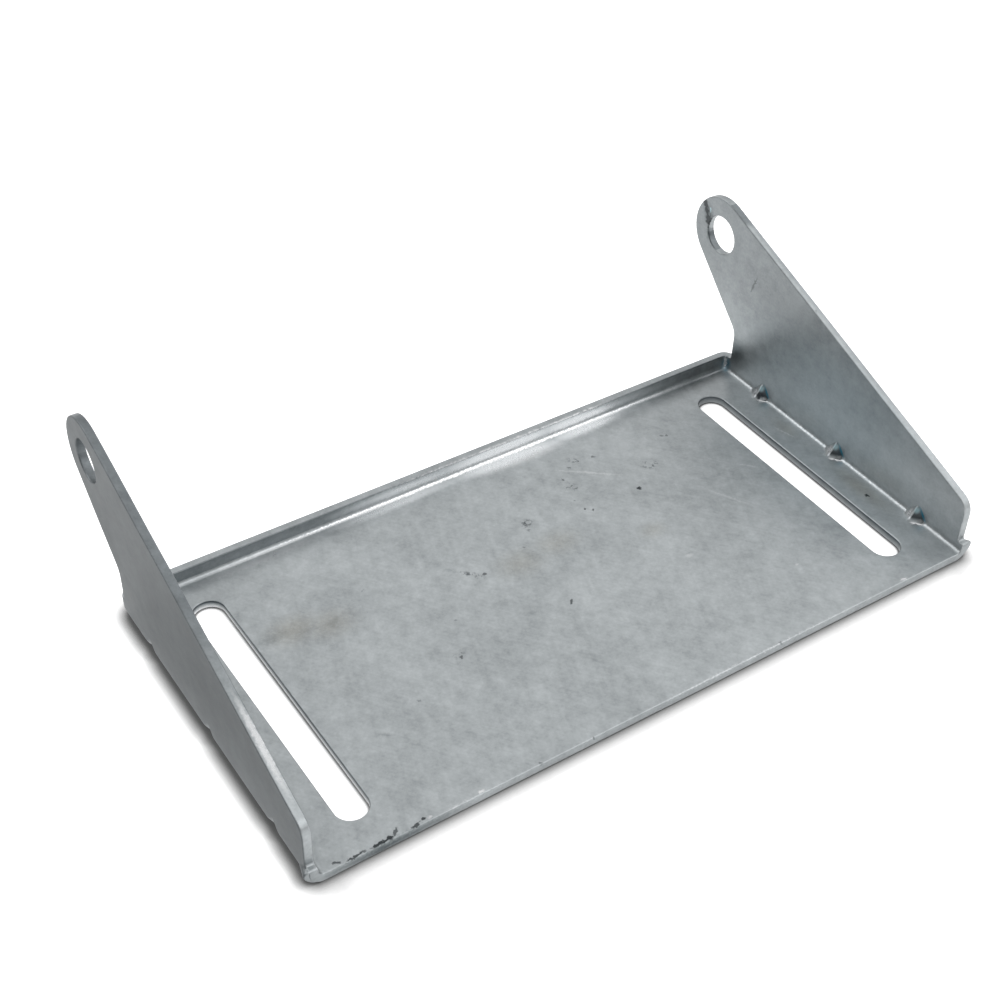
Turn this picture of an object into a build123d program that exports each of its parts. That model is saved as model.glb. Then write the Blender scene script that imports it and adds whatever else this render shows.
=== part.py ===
"""Stamped roller bracket: one sheet with two ears, a closed rear lip and pressed gussets.

Millimetres. X runs across the bracket, Y runs from its open front edge to the lip, Z is up.
The origin is on the underside of the base, half way between the slots and half way along them.
"""
import os
from math import acos, atan2, cos, degrees, hypot, radians, sin

from build123d import *

# Sheet
sheet = 3.8                     # thickness
bend_inside = 2.2               # inside radius of every fold
rim = 0.6                       # rounding of every cut edge

# Base and lip
inner_width = 308.0             # between the ears
inner_depth = 157.5             # from the front edge to the lip
lip_top = 10.8                  # height of the lip above the floor
corner_inside = 2.4             # inside radius of the closed rear corners
lip_root = 0.8                  # hollow between the lip's top and the rear of an ear

# Slots
slot_width = 13.6
slot_from_ear = 24.1            # from an ear's inner face to the middle of its slot
slot_margin = 14.35             # from the slot's end to the front edge, and to the lip

# Ears
hole_diameter = 18.4
hole_height = 70.0
hole_overhang = 14.2            # how far behind the lip's inner face the hole's middle lies
hole_margin = 9.1               # metal round the hole
notch_height = 26.4             # where an ear's rear edge turns outwards
notch_radius = 8.0
ear_setback = 3.2               # from the front edge to the ear
ear_front_height = 21.8         # middle of the ear's front corner
ear_front_radius = 7.8

# Front end of each fold
heel_height = 8.0               # the short wall in front of an ear
heel_radius = 1.2
heel_root = 1.0                 # hollow between the heel and the ear
flare = 2.6                     # how much wider the fold is at its very end
flare_stop = 20.0               # degrees before upright where the flared fold stops
flare_length = 9.0
flare_setback = 0.3             # how far behind the front edge it starts
flare_sink = 0.2                # how far inside the sheet the flare runs out

# Gussets pressed into the folds
gusset_count = 3
gusset_pitch = 51.5
gusset_foot = 5.2               # reach over the base, from the ear's inner face
gusset_rise = 7.2               # reach up the ear, from the base's upper face
gusset_half_width = 6.3
gusset_ridge = 1.2              # radius of the ridge
gusset_root = 0.9               # how far its buried back lies inside the sheet

# Sizes that follow
bend_outside = bend_inside + sheet
corner_outside = corner_inside + sheet
inner_half = inner_width / 2
outer_half = inner_half + sheet
front = -inner_depth / 2
slot_length = inner_depth - 2 * slot_margin
lip_inner = inner_depth / 2
lip_outer = lip_inner + sheet
ear_front = front + ear_setback
ear_rear = lip_inner - corner_inside - lip_root
tip_radius = hole_diameter / 2 + hole_margin
tip = (lip_inner + hole_overhang, hole_height)
front_corner = (ear_front + ear_front_radius, ear_front_height)
notch = (ear_rear, notch_height)
tray_top = lip_top + 2 * lip_root

past = 1.0                      # how far a cutting tool runs past what it cuts
same = 0.001                    # lengths that differ by less than this are equal


def on_circle(centre, radius, angle):
    """The point on a circle at an angle in degrees."""
    return (centre[0] + radius * cos(radians(angle)), centre[1] + radius * sin(radians(angle)))


def arc(centre, radius, start, end):
    """The arc of a circle from one angle in degrees to another."""
    middle = (start + end) / 2
    return ThreePointArc(*[on_circle(centre, radius, angle) for angle in (start, middle, end)])


def direction(start, end):
    """The length and the angle in degrees of the line between two points."""
    run = end[0] - start[0]
    rise = end[1] - start[1]
    return hypot(run, rise), degrees(atan2(rise, run))


def side_outline():
    """The bracket seen from the side: heel, sloping ear with its overhanging tip, and lip."""
    span, slope = direction(front_corner, tip)
    shoulder = slope + degrees(acos((ear_front_radius - tip_radius) / span))
    reach, lean = direction(notch, tip)
    underside = lean - degrees(acos(-tip_radius / reach))
    over_corner = arc(front_corner, ear_front_radius, 180, shoulder)
    over_tip = arc(tip, tip_radius, shoulder, underside)
    heel_top = (front, heel_height)
    heel_end = (ear_front, heel_height)
    lip_start = (ear_rear, lip_top)
    lip_end = (lip_outer, lip_top)
    lines = [
        Line((front, 0), heel_top),
        Line(heel_top, heel_end),
        Line(heel_end, over_corner @ 0),
        over_corner,
        Line(over_corner @ 1, over_tip @ 0),
        over_tip,
        Line(over_tip @ 1, notch),
        Line(notch, lip_start),
        Line(lip_start, lip_end),
        Line(lip_end, (lip_outer, 0)),
        Line((lip_outer, 0), (front, 0)),
    ]
    outline = make_face(lines)
    outline = round_corner(outline, heel_top, heel_radius)
    outline = round_corner(outline, heel_end, heel_root)
    outline = round_corner(outline, notch, notch_radius)
    outline = round_corner(outline, lip_start, lip_root)
    return outline - Pos(*tip) * Circle(hole_diameter / 2)


def round_corner(outline, corner, radius):
    """An outline with one corner rounded."""
    return fillet(outline.vertices().sort_by_distance(corner)[0], radius)


def tray():
    """The base with its lip and the roots of the ears, folded up with closed rear corners."""
    outer = Pos(0, front, 0) * Box(
        2 * outer_half, lip_outer - front, tray_top, align=(Align.CENTER, Align.MIN, Align.MIN)
    )
    inner = Pos(0, front - corner_inside - past, sheet) * Box(
        inner_width,
        inner_depth + corner_inside + past,
        tray_top,
        align=(Align.CENTER, Align.MIN, Align.MIN),
    )
    outer = rounded_tray(outer, corner_outside, bend_outside)
    inner = rounded_tray(inner, corner_inside, bend_inside)
    through = extrude(Plane.YZ * side_outline(), outer_half + past, both=True)
    return (outer - inner) & through


def rounded_tray(block, corner, bend):
    """A block with its two upright rear edges rounded, then its bottom edges but the front one."""
    block = fillet(block.edges().filter_by(Axis.Z).group_by(Axis.Y)[-1], corner)
    bottom = block.edges().group_by(Axis.Z)[0]
    return fillet(bottom - bottom.filter_by(Axis.X).group_by(Axis.Y)[0], bend)


def ear():
    """The flat plate of the right ear, above the tray."""
    above = Pos(0, tray_top) * Rectangle(
        2 * (tip[0] + tip_radius), tip[1] + tip_radius, align=(Align.CENTER, Align.MIN)
    )
    return extrude(Plane.YZ.offset(inner_half) * (side_outline() & above), sheet)


def slot():
    """The tool that punches the right slot."""
    outline = Rot(Z=90) * SlotOverall(slot_length, slot_width)
    return Pos(inner_half - slot_from_ear, 0, -past) * extrude(outline, sheet + 2 * past)


def across(edge):
    """Whether an edge runs straight across the sheet's thickness."""
    return edge.geom_type == GeomType.LINE and abs(edge.length - sheet) < same


def cut_rims(body):
    """The edges round every face that was cut through the sheet."""
    rims = ShapeList()
    for face in body.faces():
        if face.edges().filter_by(across):
            rims += [edge for edge in face.edges() if not across(edge) and edge not in rims]
    return rims


def fold_section(y, widening, thinning):
    """The right fold cut at a place along it, with a round end that stops short of upright."""
    inside = bend_inside + widening
    outside = bend_outside + widening - thinning
    stop = -flare_stop
    centre = (inner_half - bend_inside, sheet + inside)
    inner = arc(centre, inside, -90, stop)
    outer = arc(centre, outside, stop, -90)
    crown = on_circle(on_circle(centre, (inside + outside) / 2, stop), (outside - inside) / 2, stop + 90)
    end = ThreePointArc(inner @ 1, crown, outer @ 0)
    section = make_face([inner, end, outer, Line(outer @ 1, inner @ 0)])
    return Plane(origin=(0, y, 0), x_dir=(1, 0, 0), z_dir=(0, -1, 0)) * section


def flared_end():
    """The front end of the right fold, which spreads outwards and runs out along the fold."""
    start = fold_section(front + flare_setback, flare, 0)
    run_out = fold_section(front + flare_length, 0, flare_sink)
    spread = loft([start, run_out])
    return fillet(spread.edges().group_by(Axis.Y)[0].filter_by(GeomType.CIRCLE), rim)


def dart(depth, skin):
    """A pointed wedge across the right fold, half way along it.

    Its corners are the foot on the base, the head on the ear and two points on the fold's line.
    It is drawn from a line that lies a depth behind the inside corner, and its ridge lies a skin
    behind the gusset's ridge, so that the gusset and its dent have the same slopes.
    """
    ridge_length = hypot(gusset_foot, gusset_rise)
    ridge_depth = gusset_foot * gusset_rise / ridge_length
    corner_depth = depth * (gusset_foot + gusset_rise) / ridge_length
    size = (ridge_depth + corner_depth - skin) / ridge_depth
    corner = Vector(inner_half + depth, 0, sheet - depth)
    foot = corner - Vector(gusset_foot * size, 0, 0)
    head = corner + Vector(0, 0, gusset_rise * size)
    middle = Face(Wire.make_polygon([corner, foot, head]))
    halves = [
        loft([middle, Vertex(*(corner + Vector(0, side * gusset_half_width * size, 0)))])
        for side in (-1, 1)
    ]
    wedge = halves[0] + halves[1]
    ridge = wedge.edges().sort_by_distance((foot + head) / 2)[0]
    return fillet(ridge, gusset_ridge)


def along_fold(shape):
    """One copy of a shape at each gusset's place along the right fold."""
    first = -gusset_pitch * (gusset_count - 1) / 2
    return [Pos(0, first + number * gusset_pitch, 0) * shape for number in range(gusset_count)]


def both_sides(shapes):
    """The shapes and their mirror images across the bracket's middle."""
    return shapes + [mirror(shape, about=Plane.YZ) for shape in shapes]


def bracket():
    """The whole bracket as one solid."""
    body = tray() + both_sides([ear()])
    body -= both_sides([slot()])
    body = fillet(cut_rims(body), rim)
    body += both_sides([flared_end()] + along_fold(dart(gusset_root, 0)))
    body -= both_sides(along_fold(dart(sheet + past, sheet)))
    return body


os.makedirs("parts", exist_ok=True)
export_step(bracket(), "parts/bracket.step")
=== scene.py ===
"""The looks of a stamped roller bracket in hot-dip galvanised mild steel.

Metres throughout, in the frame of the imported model: X across the bracket, Y from its open front
edge to the lip, Z up, with the origin on the underside of the base. Sizes written in millimetres
are multiplied by MM.
"""
from __future__ import annotations

import logging
import math
from dataclasses import dataclass
from enum import Enum

import bpy
import numpy as np
from mathutils import Euler, Matrix, Vector, noise

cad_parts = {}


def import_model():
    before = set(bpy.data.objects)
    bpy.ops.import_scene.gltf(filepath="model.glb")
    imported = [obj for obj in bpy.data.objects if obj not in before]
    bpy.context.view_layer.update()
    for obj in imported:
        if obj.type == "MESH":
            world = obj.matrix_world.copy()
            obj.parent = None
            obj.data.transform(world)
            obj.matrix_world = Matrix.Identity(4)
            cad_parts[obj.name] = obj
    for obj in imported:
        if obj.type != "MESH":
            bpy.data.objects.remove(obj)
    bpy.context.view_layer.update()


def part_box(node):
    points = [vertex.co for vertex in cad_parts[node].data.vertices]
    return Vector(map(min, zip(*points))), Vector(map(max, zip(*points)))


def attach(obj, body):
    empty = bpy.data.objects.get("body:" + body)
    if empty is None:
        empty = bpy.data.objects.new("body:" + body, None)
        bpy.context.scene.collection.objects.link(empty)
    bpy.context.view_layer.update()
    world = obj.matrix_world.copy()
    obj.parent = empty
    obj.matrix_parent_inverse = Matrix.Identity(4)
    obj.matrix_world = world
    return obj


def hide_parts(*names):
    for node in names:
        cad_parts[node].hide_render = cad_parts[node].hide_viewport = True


log = logging.getLogger("bracket")
MM = 0.001
Pair = tuple[float, float]
Triple = tuple[float, float, float]
Socket = bpy.types.NodeSocket

TOP = 3.8                       # the base's upper face
EAR = 154.0                     # an ear's inner face
FRONT = -78.75                  # the front edge
LIP = 78.75                     # the lip's inner face
PITCH = 51.5                    # from one pressed corner to the next
SLOT = 129.9                    # the middle of a slot


def srgb(code: str) -> tuple[float, float, float, float]:
    """Turn an sRGB hex code into a linear colour.

    Args:
        code: Six hexadecimal digits.

    Returns:
        Linear red, green, blue and an alpha of 1.
    """
    def linear(value: int) -> float:
        """Linear value of one sRGB byte."""
        x = value / 255
        return x / 12.92 if x <= 0.04045 else ((x + 0.055) / 1.055) ** 2.4

    red, green, blue = (linear(int(code[i:i + 2], 16)) for i in (0, 2, 4))
    return (red, green, blue, 1.0)


def add_node(tree: bpy.types.NodeTree, kind: str, settings: dict | None = None,
             **inputs: object) -> bpy.types.Node:
    """Add one node, with its settings, its values and the links into it.

    Args:
        tree: The node tree.
        kind: The node's type name.
        settings: Properties of the node itself.
        inputs: Input name, or i and a number, to a value or to another node's output socket.

    Returns:
        The new node.
    """
    node = tree.nodes.new(kind)
    for name, value in (settings or {}).items():
        setattr(node, name, value)
    for name, value in inputs.items():
        key = int(name[1:]) if name[0] == "i" and name[1:].isdigit() else name.replace("_", " ")
        socket = node.inputs[key]
        if isinstance(value, bpy.types.NodeSocket):
            tree.links.new(value, socket)
        else:
            socket.default_value = value
    return node


def smooth_step(value: np.ndarray, low: float, high: float) -> np.ndarray:
    """Rise smoothly from 0 to 1.

    Args:
        value: Any numbers.
        low: Where the rise starts.
        high: Where it ends, which may be less than low for a fall.

    Returns:
        A number from 0 to 1 for each value.
    """
    x = np.clip((value - low) / (high - low), 0, 1)
    return x * x * (3 - 2 * x)


def from_pressed(along: np.ndarray) -> np.ndarray:
    """How far along the fold each place is from the nearest pressed corner.

    Args:
        along: Places along Y in millimetres.

    Returns:
        A number from minus half the pitch to half the pitch for each place.
    """
    return (along + PITCH / 2) % PITCH - PITCH / 2


class Tone(Enum):
    """What a mark in the zinc looks like: its colour, its sharp core, and how it lies there."""

    TAN = ("E4DDD2", 0.0, "MULTIPLY")       # dried flux
    DIRT_AND_SHADE = ("8C9496", 0.0, "MULTIPLY")    # grey ash and rubbed dirt, and painted shade on dim faces
    SPECKS = ("5E6466", 0.0, "MULTIPLY")    # ash in specks that froze into the zinc
    BLOOM = ("2F8CA8", 0.0, "MIX")          # blue-green tint on the ears' inner faces and in their corners
    HAZE = ("B5D3DA", 0.2, "MIX")           # the same tint where it is palest
    BRIGHT_ZINC_AND_HIGHLIGHTS = ("E6E7E8", 0.3, "MIX")          # runs and rubs of bright zinc, and painted highlights
    PIT = ("3A3E40", 0.55, "MIX")           # bare spots and flakes, where the zinc is missing

    @property
    def colour(self) -> str:
        """The mark's colour."""
        return self.value[0]

    @property
    def core(self) -> float:
        """How much of the mark's radius is fully coloured."""
        return self.value[1]

    @property
    def lies(self) -> str:
        """How its colour is mixed with the zinc's."""
        return self.value[2]


class Repeat(Enum):
    """Where a mark is found again."""

    ONCE = "nowhere else"
    MIRRORED = "on the other side of the bracket"
    PRESSED = "at every pressed corner, on both sides"


@dataclass(frozen=True)
class Mark:
    """An oval mark in the zinc, and the dent or the lump that goes with it, in millimetres."""

    tone: Tone
    at: Triple
    half: Triple
    turn: Triple = (0.0, 0.0, 0.0)
    strength: float = 1.0
    push: Triple = (0.0, 0.0, 0.0)
    repeat: Repeat = Repeat.ONCE

    @property
    def is_round(self) -> bool:
        """Whether it reaches as far in every direction."""
        return len(set(self.half)) == 1

    @property
    def radians(self) -> list[float]:
        """Its turn in radians."""
        return [math.radians(angle) for angle in self.turn]

    def move(self, points: np.ndarray) -> np.ndarray:
        """How far each point is pushed.

        Args:
            points: Places in millimetres, one in each row.

        Returns:
            A move in millimetres for each point.
        """
        side = np.ones(len(points))
        points = points.copy()
        if self.repeat is not Repeat.ONCE:
            side = np.sign(points[:, 0])
            points[:, 0] *= side
        if self.repeat is Repeat.PRESSED:
            points[:, 1] = from_pressed(points[:, 1])
        turned = np.array(Euler(self.radians).to_matrix())
        reach = (points - np.array(self.at)) @ turned / np.array(self.half)
        reach = np.linalg.norm(reach, axis=1)
        move = smooth_step(reach, 1.0, 0.0)[:, None] * np.array(self.push)
        move[:, 0] *= side
        return move


BASE_MARKS = (
    Mark(Tone.PIT, (63.5, 27.8, TOP), (1.3,) * 3),
    Mark(Tone.PIT, (35.0, 29.1, TOP), (0.9,) * 3, strength=0.8),
    Mark(Tone.PIT, (38.0, 26.8, TOP), (0.9,) * 3, strength=0.8),
    Mark(Tone.PIT, (38.4, 50.2, TOP), (0.8,) * 3, strength=0.6),
    Mark(Tone.PIT, (45.6, 55.6, TOP), (1.0,) * 3, strength=0.55),
    Mark(Tone.PIT, (59.2, 56.5, TOP), (1.2,) * 3, strength=0.6),
    Mark(Tone.PIT, (94.9, 52.0, TOP), (0.9,) * 3, strength=0.5),
    Mark(Tone.PIT, (97.0, 51.0, TOP), (0.8,) * 3, strength=0.5),
    Mark(Tone.PIT, (34.5, 36.2, TOP), (0.6,) * 3, strength=0.45),
    Mark(Tone.PIT, (146.1, -29.6, TOP), (1.1,) * 3),
    Mark(Tone.PIT, (-24.1, 17.8, TOP), (1.2,) * 3, strength=0.7),
    Mark(Tone.PIT, (6.7, 30.7, TOP), (0.9,) * 3, strength=0.4),
    Mark(Tone.PIT, (-1.0, 22.5, TOP), (0.7,) * 3, strength=0.4),
    Mark(Tone.PIT, (-3.0, -14.7, TOP), (0.9, 2.2, 1), (0, 0, -45), strength=0.8),
    Mark(Tone.PIT, (-57.5, -17.1, TOP), (1.0,) * 3, strength=0.7),
    Mark(Tone.PIT, (-83.6, -27.9, TOP), (1.0,) * 3, strength=0.35),
    Mark(Tone.PIT, (-71.7, 35.9, TOP), (0.7,) * 3, strength=0.3),
    Mark(Tone.PIT, (-48.5, 1.1, TOP), (0.7,) * 3, strength=0.3),
    Mark(Tone.SPECKS, (77.8, 38.8, TOP), (6.0, 5.0, 1.5), strength=1.0),
    Mark(Tone.SPECKS, (8.1, 34.8, TOP), (5.2, 3.6, 1.5), strength=1.0),
    Mark(Tone.SPECKS, (-28.9, 20.2, TOP), (9.0, 2.2, 1.5), (0, 0, -48), strength=0.9),
    Mark(Tone.DIRT_AND_SHADE, (-34.7, 26.6, TOP), (4.5, 1.6, 1), (0, 0, -48), strength=0.35),
    Mark(Tone.SPECKS, (-57.6, -15.6, TOP), (4.0, 3.0, 1.5), strength=0.6),
    Mark(Tone.SPECKS, (50.8, 58.2, TOP), (6.0, 2.6, 1.5), (0, 0, -50), strength=0.9),
    Mark(Tone.SPECKS, (38.5, 44.2, TOP), (9.0, 4.0, 1.5), (0, 0, -60), strength=0.7),
    Mark(Tone.DIRT_AND_SHADE, (-20.5, -11.5, TOP), (2.6, 1.8, 1), strength=0.3),
    Mark(Tone.DIRT_AND_SHADE, (56.2, -17.4, TOP), (2.4, 1.8, 1), strength=0.3),
    Mark(Tone.DIRT_AND_SHADE, (-102.8, -35.9, TOP), (5.0, 1.2, 1), (0, 0, -35), strength=0.3),
    Mark(Tone.DIRT_AND_SHADE, (-116.5, 31.2, TOP), (9.0, 6.0, 1), strength=0.3),
    Mark(Tone.TAN, (-7.7, 15.5, TOP), (17, 12, 1), strength=0.5),
    Mark(Tone.TAN, (12.6, 17.8, TOP), (16, 11, 1), strength=0.5),
    Mark(Tone.TAN, (-106.0, 31.0, TOP), (18, 12, 1), strength=0.7),
    Mark(Tone.TAN, (-92.0, 26.0, TOP), (16, 12, 1), strength=0.6),
    Mark(Tone.TAN, (52.0, 2.5, TOP), (10, 7, 1), strength=0.4),
    Mark(Tone.TAN, (147.0, -24.0, TOP), (7, 26, 1), strength=0.7),
    Mark(Tone.TAN, (147.0, 26.0, TOP), (6, 12, 1), strength=0.5),
    Mark(Tone.BRIGHT_ZINC_AND_HIGHLIGHTS, (90.1, -46.8, TOP), (1.0,) * 3, strength=0.35),
    Mark(Tone.BRIGHT_ZINC_AND_HIGHLIGHTS, (55.4, -18.4, TOP), (2.6, 1.6, 1), strength=0.2),
    Mark(Tone.BRIGHT_ZINC_AND_HIGHLIGHTS, (51.5, 48.0, TOP), (0.8, 20, 1), (0, 0, 52), strength=0.22),
    Mark(Tone.BRIGHT_ZINC_AND_HIGHLIGHTS, (93.6, 1.7, TOP), (0.8, 15, 1), (0, 0, 28), strength=0.2),
    Mark(Tone.BRIGHT_ZINC_AND_HIGHLIGHTS, (114.7, 14.5, TOP), (0.7, 7, 1), (0, 0, 43), strength=0.22),
    Mark(Tone.BRIGHT_ZINC_AND_HIGHLIGHTS, (144.8, 24.0, TOP), (0.6, 8, 1), (0, 0, 16), strength=0.3),
)
RIM_MARKS = (
    Mark(Tone.PIT, (-146.4, -76.8, TOP), (2.2, 0.8, 1.2), (0, 0, -20),
         strength=0.8, push=(0, 0, -0.3)),
    Mark(Tone.PIT, (-139.5, FRONT + 0.8, 3.6), (5.6, 0.75, 0.7), (0, 0, 4),
         strength=0.9, push=(0, 0.4, -0.4)),
    Mark(Tone.PIT, (-129.0, FRONT + 0.9, 3.6), (6.2, 0.8, 0.8), (0, 0, 3),
         strength=1.0, push=(0, 0.5, -0.5)),
    Mark(Tone.PIT, (-125.4, FRONT + 1.2, 3.7), (1.4,) * 3, strength=1.0, push=(0, 0.3, -0.3)),
    Mark(Tone.PIT, (-122.6, -76.6, TOP), (1.0, 2.6, 1.2), (0, 0, -40),
         strength=0.8, push=(0, 0, -0.2)),
    Mark(Tone.PIT, (-114.6, -77.8, 3.7), (3.2, 0.7, 0.8), (0, 0, 12),
         strength=0.9, push=(0, 0.2, -0.3)),
    Mark(Tone.PIT, (-111.2, -76.8, TOP), (1.1,) * 3, strength=0.95, push=(0, 0, -0.3)),
    Mark(Tone.PIT, (-61.6, -77.9, 3.5), (1.0,) * 3, strength=0.5, push=(0, 0.2, -0.2)),
    Mark(Tone.PIT, (-37.8, -78.5, 3.4), (0.8,) * 3, strength=0.55),
    Mark(Tone.PIT, (54.0, -78.0, 3.4), (1.0,) * 3, strength=0.5),
    Mark(Tone.BRIGHT_ZINC_AND_HIGHLIGHTS, (-109.0, -77.4, 3.7), (1.1,) * 3, strength=0.6),
    # painted highlight along the front edge's upper rim
    Mark(Tone.BRIGHT_ZINC_AND_HIGHLIGHTS, (-97.0, -78.0, 3.6), (9.0, 0.6, 0.6), strength=0.2),
    Mark(Tone.BRIGHT_ZINC_AND_HIGHLIGHTS, (-87.2, -77.6, 3.7), (2.0, 1.0, 0.8), strength=0.9, push=(0, 0, 0.25)),
    # painted highlight along the front edge's upper rim
    Mark(Tone.BRIGHT_ZINC_AND_HIGHLIGHTS, (40.0, -78.2, 3.5), (70.0, 0.6, 0.6), strength=0.25),
    Mark(Tone.BRIGHT_ZINC_AND_HIGHLIGHTS, (121.6, -77.6, 3.7), (2.4, 1.0, 0.8), strength=0.8, push=(0, 0, 0.25)),
    # painted shade on the left part of the front edge
    Mark(Tone.DIRT_AND_SHADE, (-126.0, FRONT, 1.9), (40, 1.5, 3.2), strength=1.0),
)
EAR_MARKS = (
    Mark(Tone.PIT, (EAR, 66.8, 57.4), (1, 0.8, 6.0), (19, 0, 0), strength=0.5),
    Mark(Tone.PIT, (EAR, 105.2, 79.4), (1.5, 1.9, 6.4), (-24, 0, 0),
         strength=0.9, push=(0.6, 0, 0)),
    Mark(Tone.PIT, (EAR, 102.2, 73.4), (1.5, 3.0, 3.8), (-20, 0, 0),
         strength=0.85, push=(0.6, 0, 0)),
    Mark(Tone.DIRT_AND_SHADE, (EAR, 102.6, 76.0), (1.5, 5.0, 8.0), (-20, 0, 0), strength=0.9),
    Mark(Tone.DIRT_AND_SHADE, (EAR, 101.6, 68.0), (1.5, 1.6, 7.0), strength=1.0, push=(0.2, 0, 0)),
    Mark(Tone.HAZE, (EAR, 101.8, 79.0), (1.0, 0.8, 1.8), strength=0.8),
    Mark(Tone.BLOOM, (EAR, 5.0, 26.0), (3, 90, 42), strength=0.12),
    # painted shade by the corner of the right ear and the lip
    Mark(Tone.DIRT_AND_SHADE, (EAR, 73.0, 17.0), (3, 11, 11), strength=0.8),
    # painted highlight on the left ear's slope, with patches of bright zinc
    Mark(Tone.BRIGHT_ZINC_AND_HIGHLIGHTS, (-155.6, -44.0, 38.9), (1.8, 27, 1.4), (20.3, 0, 0), strength=0.6),
    Mark(Tone.PIT, (156.5, 38.0, 71.0), (1.5,) * 3, strength=0.6, push=(0, 0.1, -0.3)),
    Mark(Tone.PIT, (155.0, 26.8, 66.0), (1.3,) * 3, strength=0.5, push=(0, 0.1, -0.3)),
)
FOLD_MARKS = (
    # painted highlight along the lip's foot
    Mark(Tone.BRIGHT_ZINC_AND_HIGHLIGHTS, (10.0, 77.8, 4.3), (140, 0.9, 0.9), strength=1.0),
    # painted light on the lip's inner face
    Mark(Tone.BRIGHT_ZINC_AND_HIGHLIGHTS, (28.0, LIP, 8.0), (104, 1.8, 4.2), strength=0.75),
    Mark(Tone.BRIGHT_ZINC_AND_HIGHLIGHTS, (60.0, LIP, 8.0), (48, 1.8, 4.2), strength=0.9),
    # painted highlight on the base before the lip, partly bright zinc
    Mark(Tone.BRIGHT_ZINC_AND_HIGHLIGHTS, (-96.0, 75.6, TOP), (40, 4.0, 2), strength=0.4),
    Mark(Tone.BRIGHT_ZINC_AND_HIGHLIGHTS, (-36.0, 75.8, TOP), (44, 4.5, 2), strength=0.5),
    Mark(Tone.BRIGHT_ZINC_AND_HIGHLIGHTS, (26.0, 75.0, TOP), (38, 7.0, 2), (0, 0, -3), strength=0.6),
    Mark(Tone.BRIGHT_ZINC_AND_HIGHLIGHTS, (72.0, 76.0, TOP), (30, 5.5, 2), (0, 0, 3), strength=0.55),
    # painted shade on the right end of the lip's inner face
    Mark(Tone.DIRT_AND_SHADE, (128.0, LIP, 8.0), (34, 2, 6), strength=0.3),
)
CORNER_MARKS = (
    Mark(Tone.BLOOM, (152.5, 76.5, 7.0), (2.8, 3.4, 5.5), strength=0.9, repeat=Repeat.MIRRORED),
    # painted highlight in the inside corner of the lip and each ear
    Mark(Tone.BRIGHT_ZINC_AND_HIGHLIGHTS, (153.2, 77.9, 7.5), (0.9, 0.9, 4.6), strength=0.9, repeat=Repeat.MIRRORED),
    # painted highlight along each ear's fold
    Mark(Tone.BRIGHT_ZINC_AND_HIGHLIGHTS, (152.8, 0.0, 5.0), (1.2, 110, 1.2), strength=0.3, repeat=Repeat.MIRRORED),
)
PRESSED_MARKS = (
    # painted light on the back flank of each pressed corner
    Mark(Tone.BRIGHT_ZINC_AND_HIGHLIGHTS, (151.6, 2.2, 6.5), (2.6, 2.6, 3.4), strength=0.8, repeat=Repeat.PRESSED),
    # painted highlight along the front foot of each pressed corner
    Mark(Tone.BRIGHT_ZINC_AND_HIGHLIGHTS, (151.2, -3.4, 3.9), (4.2, 0.55, 0.7), (0, 0, -50),
         strength=0.95, repeat=Repeat.PRESSED),
    Mark(Tone.BLOOM, (154.0, -3.5, 7.6), (1.2, 1.0, 5.6), (-41, 0, 0),
         strength=1.0, repeat=Repeat.PRESSED),
    Mark(Tone.HAZE, (152.8, -0.9, 8.8), (2.0, 1.7, 2.3), strength=0.9, repeat=Repeat.PRESSED),
)
MARKS = BASE_MARKS + RIM_MARKS + EAR_MARKS + FOLD_MARKS + CORNER_MARKS + PRESSED_MARKS


class Measure(Enum):
    """What a shade is limited by: where a place is, in millimetres, or which way it faces."""

    ACROSS = "across the bracket"
    SIDE = "from the middle to either side"
    FROM_SLOT = "from the middle of a slot"
    ALONG = "from front to back"
    FROM_MIDDLE = "from half way along"
    HEIGHT = "above the underside"
    OUTWARDS = "how much it faces away from the middle"
    BACKWARDS = "how much it faces the lip's side"
    UP = "how much it faces up"
    LEVEL = "how much it faces up or down"


Limit = tuple[Measure, float, float]
ENDLESS = math.inf


@dataclass(frozen=True)
class Shade:
    """A darker shade painted on part of the zinc.

    All are painted shade. The one on the slots' walls darkens these recesses. The others even
    out how brightly the lamps of this studio light one face beside another, and the metal isn't
    greyer there. Under other lamps they stay, and would be seen as paint.
    """

    amount: float
    within: tuple[Limit, ...] = ()      # between which values it lies
    rises: tuple[Limit, ...] = ()       # where it starts, and where it is full
    loses: float = 0.0                  # how much of the amount is lost
    lost: Limit | None = None           # where that loss starts, and where it is full

    def on(self, found: dict[Measure, np.ndarray]) -> np.ndarray:
        """How dark it is.

        Args:
            found: Every measure of all places.

        Returns:
            A number from 0 to the amount for each place.
        """
        shade = np.ones(len(found[Measure.HEIGHT]))
        for measure, low, high in self.within:
            shade *= (found[measure] > low) & (found[measure] < high)
        for measure, start, full in self.rises:
            shade *= smooth_step(found[measure], start, full)
        if self.lost is None:
            return shade * self.amount
        measure, start, full = self.lost
        return shade * (self.amount - self.loses * smooth_step(found[measure], start, full))


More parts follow.
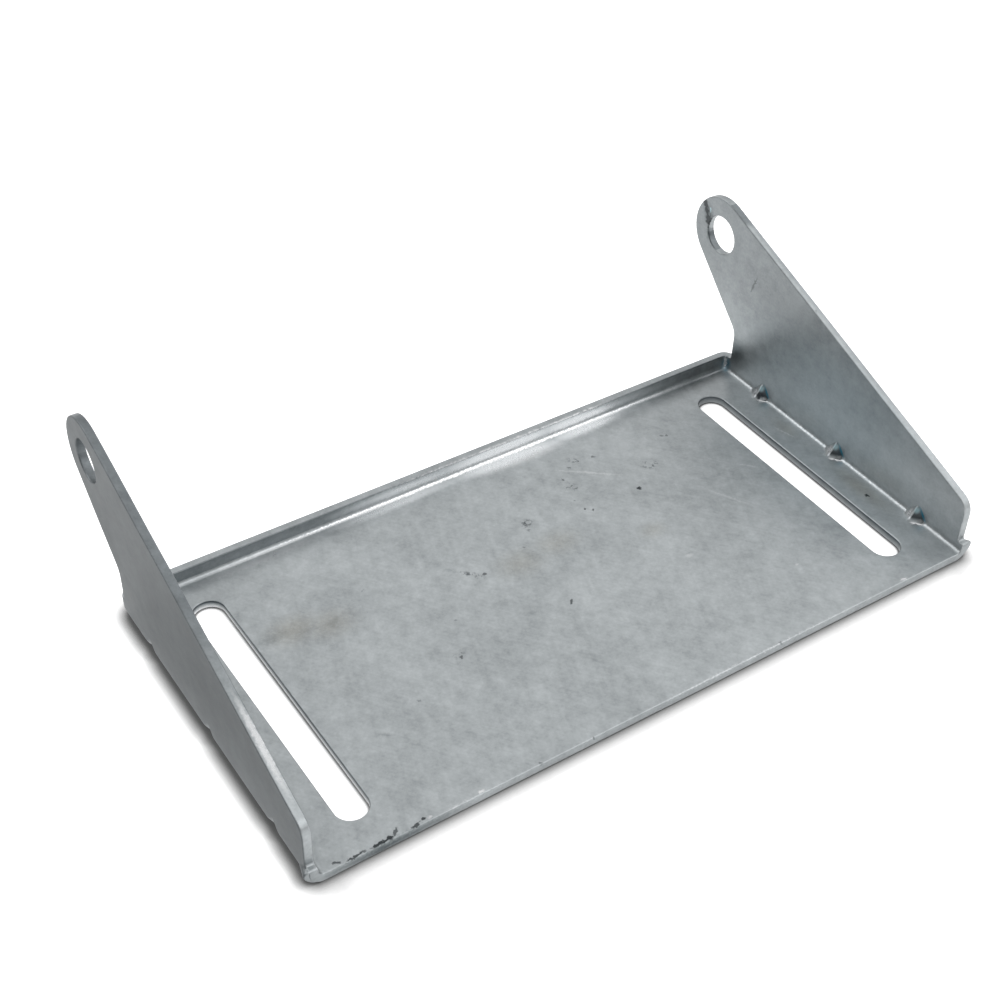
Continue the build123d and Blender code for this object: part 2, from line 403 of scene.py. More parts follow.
IN_SLOT = (
    (Measure.FROM_SLOT, -ENDLESS, 7.4),
    (Measure.FROM_MIDDLE, -ENDLESS, 65.0),
    (Measure.HEIGHT, -ENDLESS, 3.9),
)
ON_SLOPE = (Measure.UP, 0.2, 0.6)
SHADES = (
    # painted shade on the punched walls of the slots, in their recesses
    Shade(0.9, within=IN_SLOT, rises=((Measure.LEVEL, 0.95, 0.3), (Measure.HEIGHT, 0.3, 1.2))),
    # painted shade on the ears' outer faces
    Shade(0.59, rises=((Measure.SIDE, 156.0, 157.4), (Measure.OUTWARDS, 0.1, 0.9)),
          loses=0.07, lost=(Measure.HEIGHT, 30.0, 75.0)),
    # painted shade on the underside
    Shade(0.3, rises=((Measure.UP, -0.3, -0.9),)),
    # painted shade on the front edge
    Shade(0.12, within=((Measure.ALONG, -ENDLESS, -76.0),),
          rises=((Measure.BACKWARDS, -0.5, -0.95),)),
    # painted shade on the ears' inner faces, near their tips
    Shade(0.3, rises=((Measure.SIDE, 152.0, 154.0), (Measure.HEIGHT, 18.0, 60.0),
                      (Measure.OUTWARDS, -0.3, -0.9))),
    # painted shade on the lip's inner rim
    Shade(0.6, within=((Measure.ALONG, 77.5, ENDLESS), (Measure.HEIGHT, 10.05, ENDLESS)),
          rises=((Measure.BACKWARDS, -0.05, -0.3), (Measure.UP, 0.1, 0.3))),
    # painted shade on the left part of the lip's inner face
    Shade(0.5, within=((Measure.ALONG, 77.5, ENDLESS), (Measure.HEIGHT, 5.5, ENDLESS)),
          rises=((Measure.BACKWARDS, -0.6, -0.9), (Measure.ACROSS, -20.0, -90.0))),
    # painted shade on the lip's top
    Shade(0.12, within=((Measure.ALONG, 78.0, ENDLESS), (Measure.HEIGHT, 10.0, ENDLESS)),
          rises=((Measure.UP, 0.7, 0.95),)),
    # painted shade on the right ear's slope
    Shade(0.25, within=((Measure.ACROSS, 155.4, ENDLESS), (Measure.HEIGHT, 20.0, ENDLESS)),
          rises=(ON_SLOPE, (Measure.ALONG, -50.0, -10.0))),
    # painted shade on the left ear's slope
    Shade(0.6, within=((Measure.ACROSS, -ENDLESS, -153.5), (Measure.HEIGHT, 20.0, ENDLESS)),
          rises=(ON_SLOPE, (Measure.ALONG, -60.0, 20.0))),
    # painted shade on the front sides of the pressed corners
    Shade(0.9, within=((Measure.SIDE, 147.0, ENDLESS), (Measure.HEIGHT, 3.9, 12.0),
                       (Measure.FROM_MIDDLE, -ENDLESS, 60.0),
                       (Measure.OUTWARDS, -ENDLESS, -0.1)),
          rises=((Measure.BACKWARDS, -0.3, -0.45),),
          loses=0.6, lost=(Measure.HEIGHT, 7.0, 9.5)),
)
# painted reflection: the left slot's lower walls are drawn bright, as if mirroring the paper
SLOT_GLEAM = Shade(1.0, rises=((Measure.HEIGHT, 2.9, 2.3),),
            within=IN_SLOT + ((Measure.ACROSS, -ENDLESS, 0.0), (Measure.LEVEL, -ENDLESS, 0.9)))


@dataclass(frozen=True)
class Pattern:
    """A soft random pattern: its patches in millimetres, its finer layers and its turn."""

    size: Triple
    detail: float
    roughness: float
    turn: float = 0.0               # degrees about the vertical

    def build(self, tree: bpy.types.NodeTree, place: Socket) -> Socket:
        """Add the pattern.

        Args:
            tree: The node tree.
            place: Object coordinates in millimetres.

        Returns:
            A number around MIDDLE.
        """
        mapped = add_node(tree, "ShaderNodeMapping", {"vector_type": "TEXTURE"}, Vector=place,
                          Rotation=(0.0, 0.0, math.radians(self.turn)), Scale=self.size)
        return add_node(tree, "ShaderNodeTexNoise", Vector=mapped.outputs[0], Scale=1.0,
                        Detail=self.detail, Roughness=self.roughness).outputs["Fac"]


MIDDLE = 0.5                    # what every pattern is around
ROLLING = -20.0                 # degrees from the sheet's depth to the way it was rolled
PAINT = "shade"                 # the painted shades, and the left slot's painted reflection


@dataclass(frozen=True)
class GalvanisedSteel:
    """Hot-dip galvanised mild steel.

    The zinc froze on a rolled sheet after it was stamped and folded: a soft, dull, slightly blue
    grey with broad cloudy patches, a fine grain without spangle, faint lines along the rolling,
    and pits and flakes where the coat has gaps. Painted shade darkens the slots' walls and faces
    that these lamps light unevenly, and painted highlights brighten the folds, rims and lip.
    """

    zinc_dark: str = "868B8D"
    zinc_light: str = "BFC4C6"
    metallic: float = 0.8
    clouds: Pattern = Pattern((34.0,) * 3, 3.0, 0.5)
    mottle: Pattern = Pattern((6.0,) * 3, 4.0, 0.65)
    grain: Pattern = Pattern((1.1,) * 3, 2.0, 0.6)
    streaks: Pattern = Pattern((2.2, 30.0, 2.2), 2.0, 0.5, ROLLING)
    scuffs: Pattern = Pattern((1.2, 11.0, 1.2), 2.0, 0.6, 38.0)
    peel: Pattern = Pattern((1.6,) * 3, 2.0, 0.5)   # orange peel of the frozen zinc
    # how strong each pattern is: clouds, mottle, streaks, scuffs and grain
    in_tone: tuple[float, ...] = (0.6, 0.85, 0.25, 0.25, 0.4)
    in_roughness: Triple = (0.9, 0.7, 0.5)  # mottle, streaks and grain
    in_relief: Triple = (0.5, 0.8, 0.25)    # peel, mottle and streaks
    rough: Pair = (0.3, 0.46)
    gleam_smoothness: float = 0.2     # how much less rough bright zinc and painted highlights are
    bump: float = 0.35
    relief: float = 0.05            # mm
    shade: str = "515C63"           # the colour of the painted shades
    shade_uneven: Pattern = Pattern((8.0,) * 3, 3.0, 0.6, ROLLING)
    shade_spread: Pair = (0.3, 0.7)
    shade_strength: Pair = (0.9, 1.07)
    ragged: float = 1.3             # how coarse the outlines of marks are, mm
    jagged: float = 2.2             # how far they are shifted, mm
    fine_detail: float = 2.0
    speck: float = 1.5              # mm
    speck_spread: Pair = (0.48, 0.62)
    marks: tuple[Mark, ...] = ()

    def material(self) -> bpy.types.Material:
        """Make the material.

        Returns:
            The finished material.
        """
        made = bpy.data.materials.new("hot_dip_galvanised_mild_steel")
        made.use_nodes = True
        tree = made.node_tree
        shader = tree.nodes["Principled BSDF"]
        shader.inputs["Metallic"].default_value = self.metallic
        place = add_node(tree, "ShaderNodeTexCoord").outputs["Object"]
        place = add_node(tree, "ShaderNodeVectorMath", {"operation": "SCALE"}, i0=place,
                         Scale=1 / MM).outputs[0]

        clouds, mottle, grain, streaks, scuffs = (
            pattern.build(tree, place) for pattern in
            (self.clouds, self.mottle, self.grain, self.streaks, self.scuffs))
        zinc = self.layered(tree, (clouds, mottle, streaks, scuffs, grain), self.in_tone)
        colour = add_node(tree, "ShaderNodeMix", {"data_type": "RGBA"}, i0=zinc,
                          i6=srgb(self.zinc_dark), i7=srgb(self.zinc_light)).outputs[2]

        painted = add_node(tree, "ShaderNodeAttribute", {"attribute_name": PAINT}).outputs["Fac"]
        uneven = add_node(tree, "ShaderNodeMapRange", i0=self.shade_uneven.build(tree, place),
                          i1=self.shade_spread[0], i2=self.shade_spread[1],
                          i3=self.shade_strength[0], i4=self.shade_strength[1]).outputs[0]
        dark = add_node(tree, "ShaderNodeMath", {"operation": "MULTIPLY", "use_clamp": True},
                        i0=painted, i1=uneven).outputs[0]
        colour = add_node(tree, "ShaderNodeMix", {"data_type": "RGBA", "blend_type": "MULTIPLY"},
                          i0=dark, i6=colour, i7=srgb(self.shade)).outputs[2]
        masks = self.masks(tree, self.places(tree, place))
        # the left slot's painted reflection joins the bright zinc and the painted highlights
        bright = add_node(tree, "ShaderNodeMath", {"operation": "MULTIPLY"}, i0=painted,
                          i1=-1.0).outputs[0]
        masks[Tone.BRIGHT_ZINC_AND_HIGHLIGHTS] = add_node(tree, "ShaderNodeMath", {"operation": "MAXIMUM"},
                                     i0=masks[Tone.BRIGHT_ZINC_AND_HIGHLIGHTS], i1=bright).outputs[0]
        for tone, mask in masks.items():
            colour = add_node(tree, "ShaderNodeMix",
                              {"data_type": "RGBA", "blend_type": tone.lies}, i0=mask,
                              i6=colour, i7=srgb(tone.colour)).outputs[2]
        tree.links.new(colour, shader.inputs["Base Color"])

        rough = self.layered(tree, (mottle, streaks, grain), self.in_roughness)
        rough = add_node(tree, "ShaderNodeMapRange", i0=rough, i3=self.rough[0],
                         i4=self.rough[1]).outputs[0]
        rough = add_node(tree, "ShaderNodeMath", {"operation": "MULTIPLY_ADD"},
                         i0=masks[Tone.BRIGHT_ZINC_AND_HIGHLIGHTS], i1=-self.gleam_smoothness, i2=rough).outputs[0]
        tree.links.new(rough, shader.inputs["Roughness"])

        peel = self.peel.build(tree, place)
        relief = self.layered(tree, (peel, mottle, streaks), self.in_relief)
        bump = add_node(tree, "ShaderNodeBump", Strength=self.bump, Distance=self.relief * MM,
                        Height=relief)
        tree.links.new(bump.outputs[0], shader.inputs["Normal"])
        return made

    @staticmethod
    def layered(tree: bpy.types.NodeTree, patterns: tuple[Socket, ...],
                amounts: tuple[float, ...]) -> Socket:
        """Add patterns up around the middle.

        Args:
            tree: The node tree.
            patterns: The patterns.
            amounts: How strong each one is.

        Returns:
            The sum.
        """
        total: object = MIDDLE - sum(amounts) / 2
        for pattern, amount in zip(patterns, amounts):
            total = add_node(tree, "ShaderNodeMath", {"operation": "MULTIPLY_ADD"}, i0=pattern,
                             i1=amount, i2=total).outputs[0]
        return total

    def places(self, tree: bpy.types.NodeTree, place: Socket) -> dict[Repeat, Socket]:
        """Coordinates for marks that are found once, on both sides or at every pressed corner.

        Args:
            tree: The node tree.
            place: Object coordinates in millimetres.

        Returns:
            Coordinates in millimetres for each kind of repeat. All but those of the pressed
            corners have an uneven shift that makes the outlines of marks ragged.
        """
        x, y, z = add_node(tree, "ShaderNodeSeparateXYZ", i0=place).outputs
        side = add_node(tree, "ShaderNodeMath", {"operation": "ABSOLUTE"}, i0=x).outputs[0]
        near = add_node(tree, "ShaderNodeMath", {"operation": "WRAP"}, i0=y, i1=PITCH / 2,
                        i2=-PITCH / 2).outputs[0]
        pressed = add_node(tree, "ShaderNodeCombineXYZ", i0=side, i1=near, i2=z).outputs[0]
        ragged = add_node(tree, "ShaderNodeTexNoise", Vector=place, Scale=1 / self.ragged,
                          Detail=self.fine_detail).outputs["Color"]
        shift = add_node(tree, "ShaderNodeVectorMath", {"operation": "MULTIPLY_ADD"}, i0=ragged,
                         i1=(self.jagged,) * 3, i2=(-self.jagged / 2,) * 3).outputs[0]
        place = add_node(tree, "ShaderNodeVectorMath", {"operation": "ADD"}, i0=place,
                         i1=shift).outputs[0]
        x, y, z = add_node(tree, "ShaderNodeSeparateXYZ", i0=place).outputs
        side = add_node(tree, "ShaderNodeMath", {"operation": "ABSOLUTE"}, i0=x).outputs[0]
        mirrored = add_node(tree, "ShaderNodeCombineXYZ", i0=side, i1=y, i2=z).outputs[0]
        return {Repeat.ONCE: place, Repeat.MIRRORED: mirrored, Repeat.PRESSED: pressed}

    def masks(self, tree: bpy.types.NodeTree,
              places: dict[Repeat, Socket]) -> dict[Tone, Socket]:
        """Where the marks of each tone are.

        Args:
            tree: The node tree.
            places: Coordinates in millimetres for each kind of repeat.

        Returns:
            A number from 0 to 1 for each tone.
        """
        found = {}
        for tone in Tone:
            mask = None
            for mark in (m for m in self.marks if m.tone is tone):
                spot = self.spot(tree, mark, places[mark.repeat])
                mask = spot if mask is None else add_node(
                    tree, "ShaderNodeMath", {"operation": "MAXIMUM"}, i0=mask,
                    i1=spot).outputs[0]
            found[tone] = mask
        specks = add_node(tree, "ShaderNodeTexNoise", Vector=places[Repeat.ONCE],
                          Scale=1 / self.speck, Detail=self.fine_detail).outputs["Fac"]
        specks = add_node(tree, "ShaderNodeMapRange", i0=specks, i1=self.speck_spread[0],
                          i2=self.speck_spread[1]).outputs[0]
        found[Tone.SPECKS] = add_node(tree, "ShaderNodeMath", {"operation": "MULTIPLY"},
                                      i0=found[Tone.SPECKS], i1=specks).outputs[0]
        return found

    @staticmethod
    def spot(tree: bpy.types.NodeTree, mark: Mark, place: Socket) -> Socket:
        """Where one mark is. A round one needs fewer nodes than an oval.

        Args:
            tree: The node tree.
            mark: The mark.
            place: Coordinates in millimetres.

        Returns:
            A number from 0 to the mark's strength.
        """
        if mark.is_round:
            reach = add_node(tree, "ShaderNodeVectorMath", {"operation": "DISTANCE"}, i0=place,
                             i1=mark.at)
            edge = mark.half[0]
        else:
            near = add_node(tree, "ShaderNodeMapping", {"vector_type": "TEXTURE"}, Vector=place,
                            Location=mark.at, Rotation=mark.radians, Scale=mark.half)
            reach = add_node(tree, "ShaderNodeVectorMath", {"operation": "LENGTH"},
                             i0=near.outputs[0])
            edge = 1.0
        return add_node(tree, "ShaderNodeMapRange", {"interpolation_type": "SMOOTHSTEP"},
                        i0=reach.outputs["Value"], i1=mark.tone.core * edge, i2=edge,
                        i3=mark.strength, i4=0.0).outputs[0]


@dataclass(frozen=True)
class WhitePaper:
    """Matt white paper, which shows as white and keeps the bracket's shadow.

    It is soft and even, and is drawn darker close to the metal that stands on it. How far and
    how fast it darkens is set for each side of the bracket, and isn't what the lamps would cast.
    """

    colour: str = "F8F8F8"
    in_the_light: str = "787878"    # what it sends back to the bracket
    lift: float = 0.6
    contact: float = 7.0            # mm over which the tall ears darken the paper
    contact_before: float = 15.0    # how much further before the low front edge
    contact_in_slot: float = 1.5
    contact_dark: float = 0.5       # how open to the sky the darkest paper is
    contact_ends: Pair = (400.0, 500.0)     # mm from the middle, where nothing stands
    under_ear: Pair = (0.9, 1.0)    # shares of the way from the middle to an ear
    beside_ear: Pair = (0.96, 1.06)
    samples: int = 16
    curve: float = 1.3              # how slowly it grows lighter away from the bracket
    curve_before: float = 2.2       # how much more slowly before the front edge
    mirror_dim: float = 0.25        # how much less it glows in the bracket's own mirror image
    mirror_dark_left: float = 0.5               # painted reflection: how much darker the left paper is drawn in that image
    mirror_dark_left_at: Pair = (-1.0, -1.1)    # shares of the way from the middle to an ear

    def material(self) -> bpy.types.Material:
        """Make the material.

        Returns:
            The finished material.
        """
        made = bpy.data.materials.new("matt_white_paper")
        made.use_nodes = True
        tree = made.node_tree
        tree.nodes.clear()
        path = add_node(tree, "ShaderNodeLightPath").outputs
        glossy = path["Is Glossy Ray"]
        seen = add_node(tree, "ShaderNodeMath", {"operation": "MAXIMUM"},
                        i0=path["Is Camera Ray"], i1=glossy).outputs[0]
        seen = add_node(tree, "ShaderNodeMath", {"operation": "MAXIMUM"}, i0=seen,
                        i1=path["Is Transmission Ray"]).outputs[0]
        place = add_node(tree, "ShaderNodeTexCoord").outputs["Object"]
        x, y, _ = add_node(tree, "ShaderNodeSeparateXYZ", i0=place).outputs
        sky = self.open_sky(tree, place, x, y)
        sky = add_node(tree, "ShaderNodeMath", {"operation": "MAXIMUM"}, i0=sky,
                       i1=glossy).outputs[0]
        white = add_node(tree, "ShaderNodeMath", {"operation": "MULTIPLY"}, i0=seen,
                         i1=sky).outputs[0]
        # painted reflection: the paper on the left is drawn darker in the bracket's mirror image
        mirror_darkened = add_node(tree, "ShaderNodeMapRange", i0=x, i1=self.mirror_dark_left_at[0] * EAR * MM,
                           i2=self.mirror_dark_left_at[1] * EAR * MM, i3=0.0, i4=self.mirror_dark_left).outputs[0]
        mirror_darkened = add_node(tree, "ShaderNodeMath", {"operation": "MULTIPLY"}, i0=glossy,
                           i1=mirror_darkened).outputs[0]
        white = add_node(tree, "ShaderNodeMath", {"operation": "SUBTRACT", "use_clamp": True},
                         i0=white, i1=mirror_darkened).outputs[0]
        lift = add_node(tree, "ShaderNodeMath", {"operation": "MULTIPLY_ADD"}, i0=glossy,
                        i1=-self.mirror_dim, i2=self.lift).outputs[0]
        lift = add_node(tree, "ShaderNodeMath", {"operation": "MULTIPLY"}, i0=white,
                        i1=lift).outputs[0]
        colour = add_node(tree, "ShaderNodeMix", {"data_type": "RGBA"}, i0=white,
                          i6=srgb(self.in_the_light), i7=srgb(self.colour)).outputs[2]
        paper = add_node(tree, "ShaderNodeBsdfDiffuse", Color=colour)
        glow = add_node(tree, "ShaderNodeEmission", Strength=lift)
        both = add_node(tree, "ShaderNodeAddShader", i0=paper.outputs[0], i1=glow.outputs[0])
        add_node(tree, "ShaderNodeOutputMaterial", Surface=both.outputs[0])
        return made

    def open_sky(self, tree: bpy.types.NodeTree, place: Socket, x: Socket,
                 y: Socket) -> Socket:
        """How open the paper is to the light, which is less close to the bracket.

        Args:
            tree: The node tree.
            place: Object coordinates.
            x: How far right each place is.
            y: How far back each place is.

        Returns:
            A number that is 1 in the open.
        """
        side = add_node(tree, "ShaderNodeMath", {"operation": "ABSOLUTE"}, i0=x).outputs[0]
        reach = add_node(tree, "ShaderNodeMapRange", i0=side, i1=self.under_ear[0] * EAR * MM,
                         i2=self.under_ear[1] * EAR * MM, i3=self.contact_in_slot * MM,
                         i4=self.contact * MM).outputs[0]
        ahead = add_node(tree, "ShaderNodeMapRange", i0=y, i1=(FRONT - self.contact) * MM,
                         i2=FRONT * MM, i3=1.0, i4=0.0).outputs[0]
        ahead = add_node(tree, "ShaderNodeMapRange", i0=side, i1=self.beside_ear[0] * EAR * MM,
                         i2=self.beside_ear[1] * EAR * MM, i3=ahead, i4=0.0).outputs[0]
        reach = add_node(tree, "ShaderNodeMath", {"operation": "MULTIPLY_ADD"}, i0=ahead,
                         i1=self.contact_before * MM, i2=reach).outputs[0]
        away = add_node(tree, "ShaderNodeVectorMath", {"operation": "LENGTH"},
                        i0=place).outputs["Value"]
        near = add_node(tree, "ShaderNodeMapRange", i0=away, i1=self.contact_ends[0] * MM,
                        i2=self.contact_ends[1] * MM, i3=1.0, i4=0.0).outputs[0]
        reach = add_node(tree, "ShaderNodeMath", {"operation": "MULTIPLY"}, i0=reach,
                         i1=near).outputs[0]
        sky = add_node(tree, "ShaderNodeAmbientOcclusion", {"samples": self.samples},
                       Distance=reach).outputs["AO"]
        sky = add_node(tree, "ShaderNodeMapRange", i0=sky, i1=self.contact_dark).outputs[0]
        curve = add_node(tree, "ShaderNodeMath", {"operation": "MULTIPLY_ADD"}, i0=ahead,
                         i1=self.curve_before, i2=self.curve).outputs[0]
        return add_node(tree, "ShaderNodeMath", {"operation": "POWER"}, i0=sky,
                        i1=curve).outputs[0]


@dataclass(frozen=True)
class Softbox:
    """A distant round softbox: where it is seen in the sky, how wide it looks and its power."""

    name: str
    azimuth: float
    height: float
    width: float
    power: float

    def build(self) -> None:
        """Hang the softbox."""
        data = bpy.data.lights.new(self.name, "SUN")
        data.angle = math.radians(self.width)
        data.energy = self.power
        made = bpy.data.objects.new(self.name, data)
        bpy.context.collection.objects.link(made)
        turn = math.radians(self.azimuth)
        rise = math.radians(self.height)
        level = math.cos(rise)
        towards = Vector((math.sin(turn) * level, math.cos(turn) * level, math.sin(rise)))
        made.rotation_euler = (-towards).to_track_quat("-Z", "Y").to_euler()
        made.location = towards


@dataclass
class Studio:
    """A plain pale floor with a low backdrop, soft lamps and the camera."""

    camera_at: Triple = (-0.29614, -0.38992, 0.46511)
    azimuth: float = 34.368
    elevation: float = 40.641
    roll: float = 1.524
    lens: float = 58.466
    sensor: float = 36.0
    nearest: float = 0.01
    floor_radius: float = 8.0
    floor_sides: int = 96
    backdrop_height: float = 1.6
    world_colour: str = "FFFFFF"
    world_strength: float = 0.25
    softboxes: tuple[Softbox, ...] = (
        Softbox("ceiling", 30.0, 75.0, 120.0, 1.68),
        Softbox("front", 147.0, 36.0, 44.0, 0.7),
        Softbox("right", 88.0, 52.0, 42.0, 0.28),
        Softbox("left", -40.0, 42.0, 40.0, 0.6),
    )

    def build(self) -> None:
        """Make the camera, the stage, the lamps and the world."""
        self.camera()
        self.stage()
        for softbox in self.softboxes:
            softbox.build()
        self.world()

    def camera(self) -> None:
        """Make the camera and choose it."""
        data = bpy.data.cameras.new("camera")
        data.sensor_fit = "HORIZONTAL"
        data.sensor_width = self.sensor
        data.lens = self.lens
        data.clip_start = self.nearest
        made = bpy.data.objects.new("camera", data)
        bpy.context.collection.objects.link(made)
        aim = Euler((math.radians(90 - self.elevation), 0.0, math.radians(-self.azimuth)))
        turn = aim.to_matrix() @ Matrix.Rotation(math.radians(self.roll), 3, "Z")
        made.matrix_world = Matrix.Translation(self.camera_at) @ turn.to_4x4()
        bpy.context.scene.camera = made

    def stage(self) -> None:
        """Make the round floor and its low backdrop."""
        paper = WhitePaper().material()
        bpy.ops.object.select_all(action="DESELECT")
        bpy.ops.mesh.primitive_circle_add(vertices=self.floor_sides, radius=self.floor_radius,
                                          fill_type="NGON")
        floor = bpy.context.active_object
        floor.name = "floor"
        bpy.ops.mesh.primitive_cylinder_add(
            vertices=self.floor_sides, radius=self.floor_radius, depth=self.backdrop_height,
            end_fill_type="NOTHING", location=(0, 0, self.backdrop_height / 2))
        backdrop = bpy.context.active_object
        backdrop.name = "backdrop"
        for made in (floor, backdrop):
            made.data.materials.append(paper)

    def world(self) -> None:
        """Light the scene evenly from all round."""
        world = bpy.data.worlds.new("studio")
        world.use_nodes = True
        background = world.node_tree.nodes["Background"]
        background.inputs["Color"].default_value = srgb(self.world_colour)
        background.inputs["Strength"].default_value = self.world_strength
        bpy.context.scene.world = world


@dataclass
class Bracket:
    """The bracket: one sheet, stamped, folded, pressed and then dipped in zinc.

    Sizes are in millimetres. A wave's pairs say where it starts and where it is full.
    """

    node: str = "bracket"
    name: str = "galvanised_bracket"
    merge: float = 0.001
    flat: float = 0.05              # degrees between triangles of one flat face
    grid: float = 2.9               # between the cuts that let the sheet wave
    grid_start: float = 0.13        # keeps the cuts off the sheet's own faces
    smooth_angle: float = 32.0      # degrees, past which an edge is sharp
    wave: float = 0.09              # half of its height on the base
    wave_on_ear: float = 1.6        # how much stronger it is there
    wave_size: float = 38.0
    wave_near_top: Pair = (4.4, 3.6)
    wave_from_fold: Pair = (150.0, 140.0)
    wave_from_lip: Pair = (76.0, 66.0)
    wave_in_ear: Pair = (150.0, 154.0)
    wave_up_ear: Pair = (8.0, 16.0)
    fold_middle: Pair = (151.8, 6.0)        # how far out and how high a fold's middle is
    fold_outside: float = 6.0       # the radius of its outside
    dent_fill: float = 0.75         # how much shallower the outer dents are than in the solid
    dent_depth: Pair = (0.02, 3.5)  # how far below the outside the skin of a dent is
    dent_half: float = 9.0          # half of a dent's room along the fold
    dents_end: float = 62.0         # the furthest from half way along
    dents_within: Pair = (142.0, 16.0)      # further out than this, and lower
    least: float = 0.1              # keeps a division from zero

    def build(self) -> bpy.types.Object:
        """Make the bracket.

        Returns:
            The finished piece.
        """
        piece = self.copy_of_sheet()
        self.cut_into_grid(piece)
        self.shape(piece)
        self.smooth(piece)
        piece.data.materials.clear()
        piece.data.materials.append(GalvanisedSteel(marks=MARKS).material())
        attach(piece, "root")
        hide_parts(self.node)
        return piece

    def copy_of_sheet(self) -> bpy.types.Object:
        """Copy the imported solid's mesh and join its loose triangles into whole faces.

        Returns:
            The copy, selected and active.
        """
        source = bpy.data.objects[self.node]
        piece = bpy.data.objects.new(self.name, source.data.copy())
        bpy.context.collection.objects.link(piece)
        bpy.ops.object.select_all(action="DESELECT")
        piece.select_set(True)
        bpy.context.view_layer.objects.active = piece
        bpy.ops.object.mode_set(mode="EDIT")
        bpy.ops.mesh.select_all(action="SELECT")
        bpy.ops.mesh.remove_doubles(threshold=self.merge * MM)
        bpy.ops.mesh.dissolve_limited(angle_limit=math.radians(self.flat))
        bpy.ops.object.mode_set(mode="OBJECT")
        return piece

    def cut_into_grid(self, piece: bpy.types.Object) -> None:
        """Cut the mesh by evenly spaced planes, so that its flat faces can be shaped.

        Args:
            piece: The sheet, active.
        """
        bpy.context.view_layer.objects.active = piece
        low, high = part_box(self.node)
        bpy.ops.object.mode_set(mode="EDIT")
        for axis in range(3):
            across = Vector([float(axis == other) for other in range(3)])
            first = math.ceil(low[axis] / MM / self.grid)
            last = math.floor(high[axis] / MM / self.grid)
            for number in range(first, last + 1):
                bpy.ops.mesh.select_all(action="SELECT")
                place = across * (number * self.grid + self.grid_start) * MM
                bpy.ops.mesh.bisect(plane_co=place, plane_no=across)
        bpy.ops.object.mode_set(mode="OBJECT")

    def shape(self, piece: bpy.types.Object) -> None:
        """Move the points for waves, dents and marks, and paint the shades.

        Args:
            piece: The sheet.
        """
        mesh = piece.data
        points = np.empty(len(mesh.vertices) * 3)
        mesh.vertices.foreach_get("co", points)
        points = points.reshape(-1, 3) / MM
        moved = points + self.waves(points) + self.soften_dents(points)
        for mark in MARKS:
            if any(mark.push):
                moved += mark.move(points)
        mesh.vertices.foreach_set("co", (moved * MM).astype(np.float32).ravel())
        mesh.update()

        facing = np.empty(len(mesh.polygons) * 3, np.float32)
        mesh.polygons.foreach_get("normal", facing)
        sides = np.empty(len(mesh.polygons), np.int32)
        mesh.polygons.foreach_get("loop_total", sides)
        corners = np.empty(len(mesh.loops), np.int32)
        mesh.loops.foreach_get("vertex_index", corners)
        facing = np.repeat(facing.reshape(-1, 3), sides, axis=0)
        shade = self.shades(points[corners], facing).astype(np.float32)
        mesh.attributes.new(PAINT, "FLOAT", "CORNER").data.foreach_set("value", shade)

    def waves(self, points: np.ndarray) -> np.ndarray:
        """How far the rolled sheet is from flat.

        Args:
            points: Places in millimetres, one in each row.

        Returns:
            A move in millimetres for each point.
        """
        x, y, z = points.T
        side = np.abs(x)
        soft = np.array([noise.noise(Vector(point) / self.wave_size) for point in points])
        on_base = smooth_step(z, *self.wave_near_top) * smooth_step(side, *self.wave_from_fold)
        on_base *= smooth_step(y, *self.wave_from_lip)
        on_ear = smooth_step(side, *self.wave_in_ear) * smooth_step(z, *self.wave_up_ear)
        move = np.zeros_like(points)
        move[:, 2] = on_base * (soft + 1) * self.wave
        move[:, 0] = on_ear * soft * self.wave * self.wave_on_ear
        return move

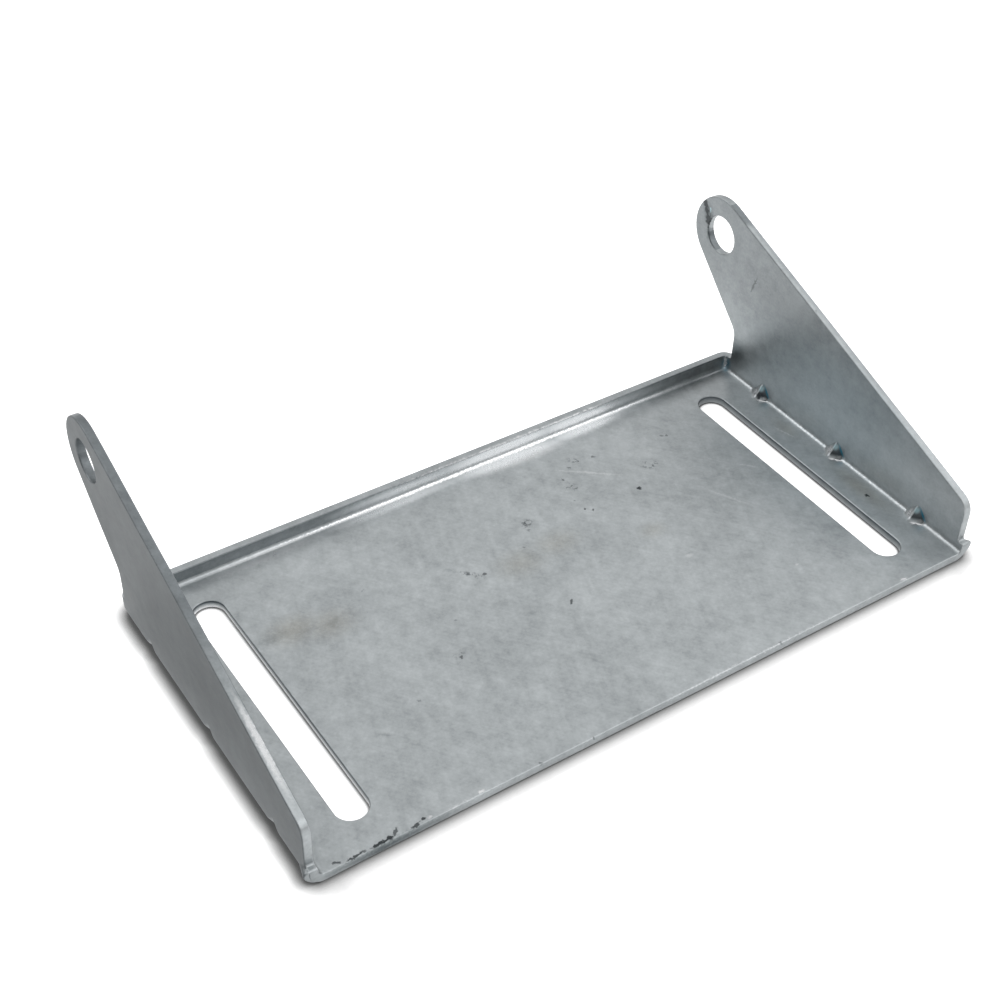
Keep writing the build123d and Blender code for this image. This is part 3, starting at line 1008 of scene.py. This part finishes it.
    def soften_dents(self, points: np.ndarray) -> np.ndarray:
        """Soften the outside of the pressed corners, where thick sheet can't follow the die.

        Args:
            points: Places in millimetres, one in each row.

        Returns:
            A move in millimetres for each point.
        """
        x, y, z = points.T
        across = np.abs(x) - self.fold_middle[0]
        down = self.fold_middle[1] - z
        in_fold = (across > 0) & (down > 0)
        reach = np.where(in_fold, np.hypot(across, down), np.maximum(across, down))
        depth = self.fold_outside - reach
        dented = (depth > self.dent_depth[0]) & (depth < self.dent_depth[1])
        dented &= (np.abs(from_pressed(y)) < self.dent_half) & (np.abs(y) < self.dents_end)
        dented &= (np.abs(x) > self.dents_within[0]) & (z < self.dents_within[1])
        amount = dented * depth * self.dent_fill
        safe = np.maximum(reach, self.least)
        move = np.zeros_like(points)
        move[:, 0] = amount * np.sign(x) * np.where(in_fold, across / safe, across >= down)
        move[:, 2] = -amount * np.where(in_fold, down / safe, across < down)
        return move

    @staticmethod
    def shades(points: np.ndarray, facing: np.ndarray) -> np.ndarray:
        """How darkly or brightly each place is painted.

        Args:
            points: The corners of all faces in millimetres, one in each row.
            facing: Which way each corner's face faces.

        Returns:
            A number from 0 to 1 for each corner, or from 0 to -1 where a slot is painted bright.
        """
        x, y, z = points.T
        found = {
            Measure.ACROSS: x,
            Measure.SIDE: np.abs(x),
            Measure.FROM_SLOT: np.abs(np.abs(x) - SLOT),
            Measure.ALONG: y,
            Measure.FROM_MIDDLE: np.abs(y),
            Measure.HEIGHT: z,
            Measure.OUTWARDS: facing[:, 0] * np.sign(x),
            Measure.BACKWARDS: facing[:, 1],
            Measure.UP: facing[:, 2],
            Measure.LEVEL: np.abs(facing[:, 2]),
        }
        dark = np.maximum.reduce([shade.on(found) for shade in SHADES])
        # painted reflection on the left slot's lower walls
        gleam = SLOT_GLEAM.on(found)
        return dark * (1 - gleam) - gleam

    def smooth(self, piece: bpy.types.Object) -> None:
        """Shade the mesh smoothly over its folds and rims, and flat on its flat faces.

        Args:
            piece: The sheet, selected and active.
        """
        bpy.ops.object.shade_smooth_by_angle(angle=math.radians(self.smooth_angle))
        weigh = piece.modifiers.new("weigh", "WEIGHTED_NORMAL")
        weigh.keep_sharp = True
        bpy.ops.object.modifier_apply(modifier=weigh.name)


def main() -> None:
    """Load the frame, build the bracket and set the stage."""
    logging.basicConfig(level=logging.INFO, format="%(message)s")
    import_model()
    piece = Bracket().build()
    log.info("%s: %d faces", piece.name, len(piece.data.polygons))
    Studio().build()
    log.info("studio: camera, floor and lamps")
    bpy.context.scene.view_settings.view_transform = "Standard"


if __name__ == "__main__":
    main()
